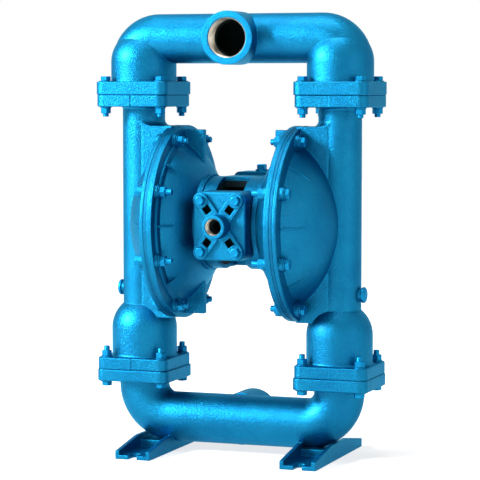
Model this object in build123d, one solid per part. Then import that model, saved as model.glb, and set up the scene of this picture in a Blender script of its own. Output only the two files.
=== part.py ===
from build123d import *
import math
import os

# Air operated double diaphragm pump, cast metal, 2 inch pipe ports.
# Millimetres. X runs along the diaphragm rod, -Y is the front (air inlet and
# discharge port), +Z is up. The origin lies on the floor under the middle.

os.makedirs("parts", exist_ok=True)

# ---------------------------------------------------------------- driving sizes
# heights of the stack
rod_height = 352.0
suction_parting = 126.0
discharge_parting = 545.0
suction_pipe_height = 51.0
discharge_pipe_height = 630.0

# towers and joint flanges
tower_x = 157.5
tower_radius = 32.5
tower_wall = 6.0
bulb_radius = 50.0
bulb_wall = 6.5
suction_bulb_height = 43.0
discharge_bulb_height = 30.0
flange_half = 58.0
flange_corner = 13.0
chamber_flange = 18.0
suction_flange = 18.0
discharge_flange = 20.0
joint_bolt_offset = 44.5
joint_spot_radius = 10.0
joint_spot_height = 1.5
chamber_flange_inset = 1.5
mould_step = 0.8
cast_fillet = 4.0
edge_round = 2.0

# manifold pipes and pipe thread ports
discharge_pipe_radius = 37.5
discharge_bend = 38.5
leg_inset = 0.8
suction_pipe_radius = 38.0
suction_bend = 50.0
pipe_bore = 30.0
port_boss_radius = 40.0
port_face = 61.5
port_boss_root = 5.0
port_bore = 29.2
port_depth = 25.0
port_chamfer = 1.6

# feet cast under the suction manifold
foot_x = 130.0
foot_width = 55.0
foot_length = 236.0
foot_plate = 6.0
foot_rib = 6.0
foot_rib_low = 12.5
foot_rib_high = 25.0
foot_rib_flat = 76.0
foot_web_length = 62.0
foot_web_height = 16.5
foot_slot_width = 14.0
foot_slot_depth = 24.0

# diaphragm chambers
rim_radius = 147.0
rim_bolt_circle = 134.0
rim_bolts = 8
inner_rim_face = 87.0
inner_rim = 8.0
diaphragm_thickness = 4.5
outer_rim = 6.5
spot_radius = 10.5
outer_spot_height = 6.5
inner_spot_height = 4.5
dome_base_radius = 125.0
dome_depth = 62.0
dome_wall = 8.0
fairing_inset = 0.4
fairing_corner = 12.0
fairing_fillet = 9.0
stiffener_width = 3.0
stiffener_height = 2.2
stiffener_sink = 0.8
dome_stiffener_start = 126.0
dome_stiffener_end = 91.0
cone_stiffener_end = 102.0
cone_step_radius = 131.0
cone_step_height = 3.0
cone_base_radius = 119.0
cone_bulge = 5.0
cone_space_floor = 68.0
cone_space_mouth = 88.0
hub_face = 42.0
hub_radius = 73.0
hub_height = 8.0
hub_web = 13.0
lug_half = 5.0
lug_reach = 140.5
lug_inner_face = 57.0

# intermediate bracket
bracket_radius = 70.0
bracket_bore = 54.0
bracket_band = 20.0
rod_boss_radius = 24.0
front_pad_half_width = 41.0
front_pad_half_height = 51.0
front_pad_face = 74.5
rear_pad_half_width = 38.0
rear_pad_half_height = 69.0
rear_pad_face = 74.5
pad_corner = 13.0
window_front_near = 8.0
window_front_far = 52.0
window_rear_far = 45.0

# diaphragm rod, plates and diaphragms
stroke = 18.0
rod_radius = 12.5
rod_fit = 0.05
rod_half_length = 80.0
stud_radius = 8.0
stud_depth = 12.0
plate_radius = 72.0
inner_plate_depth = 15.0
outer_plate_depth = 13.0
plate_gap = 0.15
convolution_inner = 80.0
convolution_outer = 116.0
convolution_depth = 9.0
bushing_wall = 4.0
seal_length = 6.0
bumper_inner = 19.0
bumper_outer = 30.0
bumper_gap = 0.5

# pilot valve and its plungers
pilot_y = 50.0
pilot_stroke = 5.0
pilot_radius = 8.0
pilot_half_length = 30.0
pilot_fit = 0.05
pilot_sleeve_wall = 4.0
plunger_radius = 4.75
plunger_head_radius = 7.0
plunger_head = 5.0
plunger_gap = 0.3
plunger_bushing_wall = 3.25

# air inlet cap on the front
gasket = 1.5
cap_plate = 18.0
cap_plate_round = 2.5
cap_boss_height = 23.8
cap_boss_radius = 11.4
cap_screw_x = 27.6
cap_screw_z = 38.1
inlet_boss_radius = 17.5
inlet_boss_face = 120.0
inlet_bore = 12.3
inlet_depth = 20.0
inlet_passage = 8.0
cap_arm_height = 22.5
cap_pocket_side = 11.4
cap_pocket_depth = 14.0

# main air valve on the rear
valve_half_width = 38.0
valve_top = 74.0
valve_bottom = 69.0
valve_back = 120.0
exhaust_face = 128.0
valve_corner = 9.0
spool_y = 98.0
spool_radius = 13.0
spool_fit = 0.04
spool_half_length = 30.0
sleeve_wall = 4.0
valve_cap = 9.0
valve_cap_half = 26.0
valve_cap_depth = 38.0
valve_cap_bolt_y = 13.0
valve_cap_bolt_z = 19.5
exhaust_drop = 42.0
exhaust_bore = 15.4
exhaust_depth = 20.0
exhaust_boss_radius = 24.0
valve_bolt_x = 29.0
valve_bolt_z = 59.0
top_plug_y = 98.0
top_plug_side = 12.0
top_plug_height = 11.0

# check valves
ball_radius = 32.0
ball_gap = 0.3
seat_radius = 42.0
seat_bore = 25.0
seat_height = 8.0
seat_chamfer = 4.0
seat_gasket = 1.0
guide_gap = 1.2
guide_width = 6.0

# side plugs
plug_height = 248.0
plug_boss_radius = 10.0
plug_boss_proud = 3.0
plug_radius = 12.0
plug_head = 6.0
plug_thread_radius = 7.0
plug_thread_length = 9.0

# 3/8 inch, 5/16 inch and 1/4 inch fasteners
bolt_radius = 4.75
bolt_clearance = 0.5
bolt_across_flats = 14.3
bolt_head = 6.4
bolt_nut = 8.4
joint_bolt_point = 5.0
rim_bolt_point = 10.0
rim_bolt_point_at_lug = 6.0
washer_radius = 8.9
washer_thickness = 1.8
cap_screw_radius = 4.0
cap_screw_flats = 12.7
cap_screw_head = 5.4
cap_screw_bite = 14.0
small_screw_radius = 3.2
small_screw_flats = 11.1
small_screw_head = 4.4
hub_screw_circle = 62.0
hub_screw_radius = 4.0
hub_screw_head_radius = 6.5
hub_screw_head = 8.0
hub_screw_bite = 16.0

# ---------------------------------------------------------------- derived places
outer_rim_start = inner_rim_face + inner_rim + diaphragm_thickness
outer_rim_face = outer_rim_start + outer_rim
diaphragm_start = inner_rim_face + inner_rim
dome_sphere = (dome_base_radius**2 + dome_depth**2) / (2 * dome_depth)
dome_centre_x = outer_rim_face + dome_depth - dome_sphere
fairing_half = tower_radius - fairing_inset
tower_bore = tower_radius - tower_wall
bulb_bore = bulb_radius - bulb_wall
bulb_centre_low = suction_parting + chamber_flange + suction_bulb_height
bulb_centre_high = discharge_parting + discharge_flange + discharge_bulb_height
leg_x = tower_x + bulb_radius - discharge_pipe_radius - leg_inset
hub_web_face = hub_face + hub_web
hub_top = hub_face + hub_height
cone_step_x = inner_rim_face - cone_step_height
plunger_tip = rod_half_length - stroke + pilot_stroke - plunger_gap
valve_face = rear_pad_face + gasket
bushing_radius = rod_radius + rod_fit + bushing_wall
rim_angles = [360.0 / rim_bolts * (i + 0.5) for i in range(rim_bolts)]
stiffener_angles = [-45.0, 0.0, 45.0, 135.0, 180.0, 225.0]


# ---------------------------------------------------------------- shared shapes
def span(x0, x1, y0, y1, z0, z1):
    """Block between two corners."""
    block = Box(abs(x1 - x0), abs(y1 - y0), abs(z1 - z0))
    return Pos((x0 + x1) / 2, (y0 + y1) / 2, (z0 + z1) / 2) * block


def bar_x(radius, x0, x1, y=0.0, z=0.0):
    """Cylinder along X."""
    return Pos((x0 + x1) / 2, y, z) * Rot(0, 90, 0) * Cylinder(radius, abs(x1 - x0))


def bar_y(radius, y0, y1, x=0.0, z=0.0):
    """Cylinder along Y."""
    return Pos(x, (y0 + y1) / 2, z) * Rot(90, 0, 0) * Cylinder(radius, abs(y1 - y0))


def bar_z(radius, z0, z1, x=0.0, y=0.0):
    """Cylinder along Z."""
    return Pos(x, y, (z0 + z1) / 2) * Cylinder(radius, abs(z1 - z0))


def turned_x(points):
    """Closed outline of (x, radius) points turned about the rod axis."""
    outline = Polyline(*[(x, r) for x, r in points], close=True)
    return Pos(0, 0, rod_height) * revolve(make_face(outline), Axis.X, 360)


def turned_z(points, x, z):
    """Closed outline of (radius, height) points turned about a vertical axis."""
    outline = Polyline(*[(r, 0, h) for r, h in points], close=True)
    return Pos(x, 0, z) * revolve(make_face(outline), Axis.Z, 360)


def hexagon(across_flats, height):
    """Hexagonal prism standing on its face, along +Z."""
    return extrude(RegularPolygon(across_flats / math.sqrt(3), 6), height)


def on_rim(angle, radius=rim_bolt_circle):
    """Y and Z of a point on the rim's bolt circle."""
    a = math.radians(angle)
    return radius * math.cos(a), rod_height + radius * math.sin(a)


def left(shape):
    """The same piece on the left side of the pump."""
    return mirror(shape, Plane.YZ)


def both(shape):
    """A piece and its twin on the other side, as separate solids."""
    return Compound(children=[shape, left(shape)])


def square_flange(x, z0, z1, half=flange_half):
    """Square joint flange with round corners."""
    plate = fillet(Rectangle(2 * half, 2 * half).vertices(), flange_corner)
    block = extrude(plate, z1 - z0)
    block = chamfer(block.faces().sort_by(Axis.Z)[0].edges(), edge_round / 2)
    block = chamfer(block.faces().sort_by(Axis.Z)[-1].edges(), edge_round / 2)
    return Pos(x, 0, z0) * block


def chamber_joint_flange(z0, z1):
    """Joint flange of a chamber, its outer half a step larger where the mould halves met."""
    half = flange_half - chamber_flange_inset
    block = square_flange(tower_x, z0, z1, half)
    larger = square_flange(tower_x, z0, z1, half + mould_step)
    return block + (larger & span(tower_x, tower_x + 2 * half, -2 * half, 2 * half, z0, z1))


def joint_spots(z0, z1):
    """Raised seats under the bolt heads of a right manifold flange."""
    return [bar_z(joint_spot_radius, z0, z1, x, y) for x, y in joint_places()]


def flare(radius, fillet_radius, z, up):
    """Concave cast fillet round an upright, from the level z up (1) or down (-1)."""
    far = radius + fillet_radius
    near = radius - stiffener_sink
    turn = fillet_radius * (1 - math.sqrt(0.5))
    arc = ThreePointArc((far, 0, 0), (radius + turn, 0, turn), (radius, 0, fillet_radius))
    sides = Polyline((radius, 0, fillet_radius), (near, 0, fillet_radius), (near, 0, 0), (far, 0, 0))
    ring = revolve(make_face([arc, sides]), Axis.Z, 360)
    if up < 0:
        ring = mirror(ring, Plane.XY)
    return Pos(tower_x, 0, z) * ring


def joint_holes(x, z0, z1):
    """Four clearance holes of a joint flange."""
    holes = []
    for sx in (-1, 1):
        for sy in (-1, 1):
            holes.append(
                bar_z(
                    bolt_radius + bolt_clearance,
                    z0,
                    z1,
                    x + sx * joint_bolt_offset,
                    sy * joint_bolt_offset,
                )
            )
    return holes


def ball_guides(x, z0, z1, cavity):
    """Four ribs that keep a check ball on its axis."""
    inner = ball_radius + guide_gap
    ribs = []
    for turn in range(4):
        rib = span(inner, cavity + 2.0, -guide_width / 2, guide_width / 2, z0, z1)
        ribs.append(Pos(x, 0, 0) * Rot(0, 0, 45 + 90 * turn) * rib)
    return ribs


def port_cuts(face, inward, z):
    """Pipe thread bore with a chamfered mouth, opening along Y."""
    bore = bar_y(port_bore, face, face + inward * port_depth, 0, z)
    mouth = Cone(port_bore, port_bore + port_chamfer, port_chamfer)
    mouth = Pos(0, face + inward * port_chamfer / 2, z) * Rot(90 * inward, 0, 0) * mouth
    passage = bar_y(pipe_bore - 3.0, face, 0, 0, z)
    return [bore, mouth, passage]


# ---------------------------------------------------------------- discharge manifold
def bulb(radius, bottom, centre):
    """Upright cylinder with a hemisphere on top, on the tower's axis."""
    half = radius * math.sqrt(0.5)
    arc = ThreePointArc((radius, 0, centre), (half, 0, centre + half), (0, 0, centre + radius))
    sides = Polyline((0, 0, centre + radius), (0, 0, bottom), (radius, 0, bottom), (radius, 0, centre))
    return Pos(tower_x, 0, 0) * revolve(make_face([arc, sides]), Axis.Z, 360)


def pipe_run(radius, bend, pipe_z, leg, leg_end):
    """Level pipe from the middle, a quarter bend and an upright leg, in one sweep."""
    path = FilletPolyline((0, 0, pipe_z), (leg, 0, pipe_z), (leg, 0, leg_end), radius=bend)
    section = Plane(origin=(0, 0, pipe_z), x_dir=(0, 1, 0), z_dir=(1, 0, 0)) * Circle(radius)
    return sweep(section, path=path)


def discharge_manifold():
    """Level pipe with an elbow, ball bulb and joint flange at each end."""
    top = discharge_parting + discharge_flange
    half = pipe_run(
        discharge_pipe_radius, discharge_bend, discharge_pipe_height, leg_x, top - 1.0
    )
    half += bulb(bulb_radius, top - 5.0, bulb_centre_high)
    half += square_flange(tower_x, discharge_parting, top)
    for seat_disc in joint_spots(top - 1.0, top + joint_spot_height):
        half += seat_disc
    cavity = pipe_run(
        pipe_bore, discharge_bend, discharge_pipe_height, leg_x, bulb_centre_high - 20.0
    )
    bulb_space = bulb(bulb_bore, discharge_parting, bulb_centre_high)
    for rib in ball_guides(tower_x, discharge_parting + 4.0, bulb_centre_high, bulb_bore):
        bulb_space -= rib
    cavity += bulb_space
    boss = bar_y(port_boss_radius, -port_face, -port_boss_root, 0, discharge_pipe_height)
    body = half + left(half) + boss
    body -= cavity
    body -= left(cavity)
    for cut in port_cuts(-port_face, 1, discharge_pipe_height):
        body -= cut
    for hole in joint_holes(tower_x, discharge_parting, top + joint_spot_height):
        body -= hole
        body -= left(hole)
    return body


# ---------------------------------------------------------------- suction manifold
def foot(x):
    """Channel-shaped foot with an open slot at both ends."""
    half_width = foot_width / 2
    half_length = foot_length / 2
    plate = span(-half_width, half_width, -half_length, half_length, 0, foot_plate)
    side = Plane.YZ * make_face(
        Polyline(
            (-half_length, 0),
            (half_length, 0),
            (half_length, foot_rib_low),
            (foot_rib_flat / 2, foot_rib_high),
            (-foot_rib_flat / 2, foot_rib_high),
            (-half_length, foot_rib_low),
            close=True,
        )
    )
    rib = extrude(side, foot_rib, dir=(1, 0, 0))
    body = plate + Pos(-half_width, 0, 0) * rib
    body += Pos(half_width - foot_rib, 0, 0) * rib
    body += span(
        -half_width, half_width, -foot_web_length / 2, foot_web_length / 2, 0, foot_web_height
    )
    for end in (-1, 1):
        near = end * (half_length - foot_slot_depth + foot_slot_width / 2)
        body -= span(
            -foot_slot_width / 2,
            foot_slot_width / 2,
            near,
            end * (half_length + 1.0),
            -1.0,
            foot_plate + 1.0,
        )
        body -= bar_z(foot_slot_width / 2, -1.0, foot_plate + 1.0, 0, near)
    return Pos(x, 0, 0) * body


def suction_manifold():
    """Level pipe bent up into two legs with joint flanges, feet and rear port."""
    low = suction_parting - suction_flange
    half = pipe_run(
        suction_pipe_radius, suction_bend, suction_pipe_height, tower_x, low + 1.0
    )
    half += square_flange(tower_x, low, suction_parting)
    for seat_disc in joint_spots(low - joint_spot_height, low + 1.0):
        half += seat_disc
    half += foot(foot_x)
    cavity = pipe_run(pipe_bore, suction_bend, suction_pipe_height, tower_x, suction_parting)
    cavity += bar_z(
        seat_radius, suction_parting - seat_height - seat_gasket, suction_parting, tower_x
    )
    boss = bar_y(port_boss_radius, port_boss_root, port_face, 0, suction_pipe_height)
    body = half + left(half) + boss
    body -= cavity
    body -= left(cavity)
    for cut in port_cuts(port_face, -1, suction_pipe_height):
        body -= cut
    for hole in joint_holes(tower_x, low - joint_spot_height, suction_parting):
        body -= hole
        body -= left(hole)
    return body


# ---------------------------------------------------------------- outer chamber
def dome_solid(sphere, base):
    """Spherical cap about the rod axis, from the rim's joint face to its crown."""
    crown = dome_centre_x + sphere
    shoulder = dome_centre_x + math.sqrt(sphere**2 - base**2)
    middle = math.asin(base / sphere) / 2
    arc = ThreePointArc(
        (shoulder, base),
        (dome_centre_x + sphere * math.cos(middle), sphere * math.sin(middle)),
        (crown, 0),
    )
    sides = Polyline((crown, 0), (outer_rim_start, 0), (outer_rim_start, base), (shoulder, base))
    return Pos(0, 0, rod_height) * revolve(make_face([arc, sides]), Axis.X, 360)


def outer_chamber():
    """Right chamber: rim, dome, tower with ball bulb and two joint flanges."""
    low = suction_parting + chamber_flange
    high = discharge_parting - chamber_flange
    rim = bar_x(rim_radius, outer_rim_start, outer_rim_face, 0, rod_height)
    rim = chamfer(rim.edges(), edge_round / 2)
    dome = dome_solid(dome_sphere, dome_base_radius)
    fairing_reach = rim_radius - 1.0
    outline = fillet(Rectangle(2 * tower_x, 2 * fairing_half).vertices(), fairing_corner)
    fairing = Pos(0, 0, rod_height - fairing_reach) * extrude(outline, 2 * fairing_reach)
    fairing &= span(
        outer_rim_start,
        tower_x,
        -fairing_half,
        fairing_half,
        rod_height - fairing_reach,
        rod_height + fairing_reach,
    )
    body = rim + dome + fairing
    for end in (-1, 1):
        ledge = flare(tower_radius, fairing_fillet, rod_height + end * fairing_reach, end)
        body += ledge & span(0, tower_x, -fairing_half, fairing_half, low, high)
    body += bar_z(tower_radius, low - 2.0, high + 2.0, tower_x)
    body += bulb(bulb_radius, low - 2.0, bulb_centre_low)
    body += flare(bulb_radius, cast_fillet, low, 1)
    body += flare(tower_radius, cast_fillet, high, -1)
    body += chamber_joint_flange(suction_parting, low)
    body += chamber_joint_flange(high, discharge_parting)
    plug_face = tower_x + tower_radius + plug_boss_proud
    body += bar_x(plug_boss_radius, tower_x, plug_face, 0, plug_height)
    for angle in rim_angles:
        y, z = on_rim(angle)
        body += bar_x(spot_radius, outer_rim_start, outer_rim_face + outer_spot_height, y, z)
    for angle in stiffener_angles:
        body += dome_stiffener(angle)
    return body


def radial_rib(outline, angle):
    """Low rib of the stiffeners' width with an outline in X and radius, turned to its place."""
    rib = extrude(make_face(outline), stiffener_width / 2, both=True)
    return Pos(0, 0, rod_height) * Rot(90.0 - angle, 0, 0) * rib


def dome_stiffener(angle):
    """Radial rib from the rim over the dome, fading into it."""
    middle = (dome_stiffener_start + dome_stiffener_end) / 2
    places = []
    for radius, proud in (
        (dome_stiffener_end, -stiffener_sink),
        (middle, stiffener_height),
    ):
        x = dome_centre_x + math.sqrt(dome_sphere**2 - radius**2) + proud
        places.append((x, 0, radius))
    start = (outer_rim_face + stiffener_height, 0, dome_stiffener_start)
    foot_x = outer_rim_face - 1.0
    arc = ThreePointArc(start, places[1], places[0])
    sides = Polyline(
        places[0], (foot_x, 0, dome_stiffener_end), (foot_x, 0, dome_stiffener_start), start
    )
    return radial_rib([arc, sides], angle) - dome_solid(
        dome_sphere - dome_wall / 2, dome_base_radius - dome_wall / 2
    )


def outer_chamber_cuts(body):
    """Liquid space, seat pocket, bolt holes and plug hole of the right chamber."""
    plug_face = tower_x + tower_radius + plug_boss_proud
    pump_space = dome_solid(dome_sphere - dome_wall, convolution_outer + 2.0)
    body -= pump_space
    body -= bar_z(tower_bore, suction_parting, discharge_parting, tower_x)
    body -= bar_z(
        seat_radius,
        discharge_parting - seat_height - seat_gasket,
        discharge_parting,
        tower_x,
    )
    bulb_space = bulb(bulb_bore, suction_parting, bulb_centre_low)
    for rib in ball_guides(tower_x, suction_parting + 4.0, bulb_centre_low, bulb_bore):
        bulb_space -= rib
    body -= bulb_space
    body -= bar_x(plug_thread_radius, tower_x + tower_bore / 2, plug_face, 0, plug_height)
    far = outer_rim_face + outer_spot_height
    for angle in rim_angles:
        y, z = on_rim(angle)
        body -= bar_x(bolt_radius + bolt_clearance, outer_rim_start, far, y, z)
        body -= bar_x(washer_radius + 1.0, far, far + 20.0, y, z)
    for hole in joint_holes(tower_x, suction_parting, suction_parting + chamber_flange):
        body -= hole
    for hole in joint_holes(tower_x, discharge_parting - chamber_flange, discharge_parting):
        body -= hole
    return body


# ---------------------------------------------------------------- inner chamber
def cone_surface(radius):
    """X of the bulged cone at a radius: a circle through its two edges with the bulge as its rise."""
    half_chord = math.dist((hub_top, hub_radius), (cone_step_x, cone_base_radius)) / 2
    circle = (half_chord**2 + cone_bulge**2) / (2 * cone_bulge)
    away = (circle - cone_bulge) / (2 * half_chord)
    centre_x = (hub_top + cone_step_x) / 2 + away * (cone_base_radius - hub_radius)
    centre_r = (hub_radius + cone_base_radius) / 2 - away * (cone_step_x - hub_top)
    return centre_x - math.sqrt(circle**2 - (radius - centre_r) ** 2)


def cone_stiffener(angle):
    """Radial rib from the step of the rim down the cone, fading into it."""
    middle = (cone_base_radius + cone_stiffener_end) / 2
    start_r = cone_step_radius - cast_fillet
    start = (cone_step_x - stiffener_height, 0, start_r)
    end = (cone_surface(cone_stiffener_end) + stiffener_sink, 0, cone_stiffener_end)
    arc = ThreePointArc(start, (cone_surface(middle) - stiffener_height, 0, middle), end)
    sides = Polyline(end, (cone_step_x + 1.0, 0, cone_stiffener_end), (cone_step_x + 1.0, 0, start_r), start)
    return radial_rib([arc, sides], angle)


def inner_chamber():
    """Right air-side cone between the bracket and the diaphragm."""
    opening = convolution_outer + 2.0
    waist = (hub_radius + cone_base_radius) / 2
    arc = ThreePointArc(
        (hub_top, hub_radius), (cone_surface(waist), waist), (cone_step_x, cone_base_radius)
    )
    sides = Polyline(
        (cone_step_x, cone_base_radius),
        (cone_step_x, cone_step_radius),
        (inner_rim_face, cone_step_radius),
        (inner_rim_face, rim_radius),
        (diaphragm_start, rim_radius),
        (diaphragm_start, 0),
        (hub_face, 0),
        (hub_face, hub_radius),
        (hub_top, hub_radius),
    )
    body = Pos(0, 0, rod_height) * revolve(make_face([arc, sides]), Axis.X, 360)
    for end in (-1, 1):
        lug = span(
            lug_inner_face,
            inner_rim_face + 1.0,
            -lug_half,
            lug_half,
            rod_height + end * hub_radius,
            rod_height + end * lug_reach,
        )
        lug = chamfer(lug.edges(), edge_round / 2)
        body += lug
    for angle in stiffener_angles:
        body += cone_stiffener(angle)
    body -= turned_x(
        [
            (hub_web_face, 0),
            (hub_web_face, cone_space_floor),
            (cone_space_mouth, opening),
            (diaphragm_start + 1.0, opening),
            (diaphragm_start + 1.0, 0),
        ]
    )
    body -= bar_x(bushing_radius, hub_face, hub_web_face, 0, rod_height)
    for angle in rim_angles:
        y, z = on_rim(angle)
        body += bar_x(spot_radius, inner_rim_face - inner_spot_height, inner_rim_face, y, z)
    near = inner_rim_face - inner_spot_height
    for angle in rim_angles:
        y, z = on_rim(angle)
        body -= bar_x(bolt_radius + bolt_clearance, near, diaphragm_start, y, z)
        body -= bar_x(washer_radius + 1.0, near - 22.0, near, y, z)
    for turn in range(4):
        y, z = on_rim(45 + 90 * turn, hub_screw_circle)
        body -= bar_x(hub_screw_radius, hub_face, hub_web_face, y, z)
        body -= bar_x(hub_screw_head_radius, hub_web_face - hub_screw_head, hub_web_face, y, z)
    plunger_hole = plunger_radius + rod_fit + plunger_bushing_wall
    body -= bar_x(plunger_hole, hub_face, hub_web_face, -pilot_y, rod_height)
    return body


# ---------------------------------------------------------------- intermediate bracket
def pad(half_width, half_height, y0, y1, corner):
    """Rounded rectangular pad standing along Y."""
    face = fillet(Rectangle(2 * half_width, 2 * half_height).vertices(), corner)
    block = extrude(Plane.XZ * face, abs(y1 - y0))
    return Pos(0, max(y0, y1), rod_height) * block


def bracket():
    """Drum between the two inner chambers with windows, pads and the rod boss."""
    body = bar_x(bracket_radius, -hub_face, hub_face, 0, rod_height)
    body += pad(
        front_pad_half_width, front_pad_half_height, -front_pad_face, -20.0, pad_corner
    )
    body += pad(rear_pad_half_width, rear_pad_half_height, 20.0, rear_pad_face, 6.0)
    band = hub_face - bracket_band
    space = bar_x(bracket_bore, -band, band, 0, rod_height)
    space &= span(
        -band, band, -window_front_far, window_rear_far, rod_height - 80.0, rod_height + 80.0
    )
    sleeve_outer = pilot_radius + pilot_fit + pilot_sleeve_wall
    space -= bar_x(rod_boss_radius, -band, band, 0, rod_height)
    space -= bar_x(sleeve_outer + 5.0, -band, band, -pilot_y, rod_height)
    space -= span(-band, band, -pilot_y, 0, rod_height - 4.0, rod_height + 4.0)
    body -= space
    body -= span(
        -band, band, -window_front_far, -window_front_near, rod_height + 30.0, rod_height + 80.0
    )
    body -= span(
        -band, band, -window_front_far, window_rear_far, rod_height - 80.0, rod_height - 30.0
    )
    body -= bar_x(rod_radius + 0.4, -hub_face, hub_face, 0, rod_height)
    for side in (-1, 1):
        body -= bar_x(
            bushing_radius, side * (hub_face - seal_length), side * hub_face, 0, rod_height
        )
        for turn in range(4):
            y, z = on_rim(45 + 90 * turn, hub_screw_circle)
            body -= bar_x(
                hub_screw_radius, side * (hub_face - hub_screw_bite), side * hub_face, y, z
            )
    body -= bar_x(sleeve_outer, -hub_face, hub_face, -pilot_y, rod_height)
    body -= bar_y(inlet_passage, -front_pad_face, -pilot_y - pilot_radius, 0, rod_height)
    for sx in (-1, 1):
        for sz in (-1, 1):
            body -= bar_y(
                cap_screw_radius,
                -front_pad_face,
                -front_pad_face + cap_screw_bite,
                sx * cap_screw_x,
                rod_height + sz * cap_screw_z,
            )
            body -= bar_y(
                bolt_radius,
                rear_pad_face - cap_screw_bite,
                rear_pad_face,
                sx * valve_bolt_x,
                rod_height + sz * valve_bolt_z,
            )
    return body


# ---------------------------------------------------------------- air inlet cap
def inlet_cap():
    """Front cap with four screw bosses, diagonal arms and the air inlet boss."""
    back = -front_pad_face - gasket
    front = -inlet_boss_face
    body = pad(front_pad_half_width, front_pad_half_height, back - cap_plate, back, pad_corner)
    body = fillet(body.faces().sort_by(Axis.Y)[0].edges(), cap_plate_round)
    arm_length = math.hypot(cap_screw_x, cap_screw_z)
    arm_turn = math.degrees(math.atan2(cap_screw_z, cap_screw_x))
    for sx in (-1, 1):
        for sz in (-1, 1):
            arm = span(
                0, arm_length, back - cap_arm_height, back, -cap_boss_radius, cap_boss_radius
            )
            place = Pos(0, 0, rod_height) * Rot(0, -sx * sz * arm_turn, 0)
            if sx < 0:
                place = place * Rot(0, 180, 0)
            body += place * arm
            x = sx * cap_screw_x
            z = rod_height + sz * cap_screw_z
            body += bar_y(cap_boss_radius, back - cap_boss_height, back, x, z)
    boss = Cone(inlet_boss_radius + 2.0, inlet_boss_radius, abs(front - back))
    body += Pos(0, (front + back) / 2, rod_height) * Rot(90, 0, 0) * boss
    for sx in (-1, 1):
        for sz in (-1, 1):
            pocket = span(
                arm_length - cap_boss_radius - cap_pocket_side,
                arm_length - cap_boss_radius,
                back - cap_arm_height - 1.0,
                back - cap_arm_height + cap_pocket_depth,
                -cap_pocket_side / 2,
                cap_pocket_side / 2,
            )
            place = Pos(0, 0, rod_height) * Rot(0, -sx * sz * arm_turn, 0)
            if sx < 0:
                place = place * Rot(0, 180, 0)
            body -= place * pocket
            x = sx * cap_screw_x
            z = rod_height + sz * cap_screw_z
            body -= bar_y(cap_screw_radius + 0.3, back - cap_boss_height, back, x, z)
    body -= bar_y(inlet_bore, front, front + inlet_depth, 0, rod_height)
    body -= bar_y(inlet_passage, front, back, 0, rod_height)
    return body


def inlet_gasket():
    """Flat gasket under the air inlet cap."""
    back = -front_pad_face
    body = pad(front_pad_half_width, front_pad_half_height, back - gasket, back, pad_corner)
    body -= bar_y(inlet_passage, back - gasket, back, 0, rod_height)
    for sx in (-1, 1):
        for sz in (-1, 1):
            x = sx * cap_screw_x
            z = rod_height + sz * cap_screw_z
            body -= bar_y(cap_screw_radius + 0.3, back - gasket, back, x, z)
    return body


# ---------------------------------------------------------------- main air valve
def valve_body():
    """Rear valve body with a spool bore, exhaust boss and mounting bolts."""
    z0 = rod_height - valve_bottom
    z1 = rod_height + valve_top
    block = span(-valve_half_width, valve_half_width, valve_face, valve_back, z0, z1)
    block = fillet(block.edges().filter_by(Axis.Y), valve_corner)
    block = chamfer(block.faces().sort_by(Axis.Y)[-1].edges(), edge_round)
    exhaust_z = rod_height - exhaust_drop
    block += bar_y(exhaust_boss_radius, valve_back - 4.0, exhaust_face, 0, exhaust_z)
    block += bar_z(top_plug_side / 2 + 4.0, z1 - 2.0, z1 + 3.0, 0, top_plug_y)
    outer = spool_radius + spool_fit + sleeve_wall
    block -= bar_x(outer, -valve_half_width, valve_half_width, spool_y, rod_height)
    block -= bar_y(exhaust_bore, exhaust_face - exhaust_depth, exhaust_face, 0, exhaust_z)
    block -= bar_y(inlet_passage, valve_face, spool_y - 10.0, 0, rod_height)
    for sx in (-1, 1):
        for sz in (-1, 1):
            x = sx * valve_bolt_x
            z = rod_height + sz * valve_bolt_z
            block -= bar_y(bolt_radius + bolt_clearance, valve_face, valve_back, x, z)
    for side in (-1, 1):
        for y, z in valve_cap_holes():
            block -= bar_x(
                small_screw_radius,
                side * (valve_half_width - cap_screw_bite),
                side * valve_half_width,
                y,
                z,
            )
    return block


def valve_cap_holes():
    """Y and Z of the four screws of a valve end cap."""
    places = []
    for sy in (-1, 1):
        for sz in (-1, 1):
            places.append((spool_y + sy * valve_cap_bolt_y, rod_height + sz * valve_cap_bolt_z))
    return places


def valve_end_cap():
    """Right end cap of the spool bore, with a centring spigot."""
    face = fillet(
        Rectangle(valve_cap_depth, 2 * valve_cap_half).vertices(), valve_corner
    )
    plate = extrude(Plane.YZ * face, valve_cap)
    body = Pos(valve_half_width, spool_y, rod_height) * plate
    body = chamfer(body.faces().sort_by(Axis.X)[-1].edges(), edge_round / 2)
    for y, z in valve_cap_holes():
        body -= bar_x(small_screw_radius + 0.3, valve_half_width, valve_half_width + valve_cap, y, z)
    return body


def grooved_spool(radius, half_length, y):
    """Spool with three lands and two waists."""
    waist = radius * 0.62
    land = half_length * 0.24
    points = [
        (-half_length, 0),
        (-half_length, radius),
        (-half_length + land, radius),
        (-half_length + land, waist),
        (-land / 2, waist),
        (-land / 2, radius),
        (land / 2, radius),
        (land / 2, waist),
        (half_length - land, waist),
        (half_length - land, radius),
        (half_length, radius),
        (half_length, 0),
    ]
    outline = make_face(Polyline(*points, close=True))
    return Pos(0, y, rod_height) * revolve(outline, Axis.X, 360)


def ported_sleeve(radius, wall, half_length, y):
    """Sleeve with rings of air ports."""
    body = bar_x(radius + wall, -half_length, half_length, y, rod_height)
    body -= bar_x(radius, -half_length, half_length, y, rod_height)
    for place in (-0.5, 0.0, 0.5):
        hole = bar_z(radius * 0.22, rod_height - radius - wall - 1.0, rod_height + radius + wall + 1.0)
        body -= Pos(place * half_length, y, 0) * hole
    return body


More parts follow.
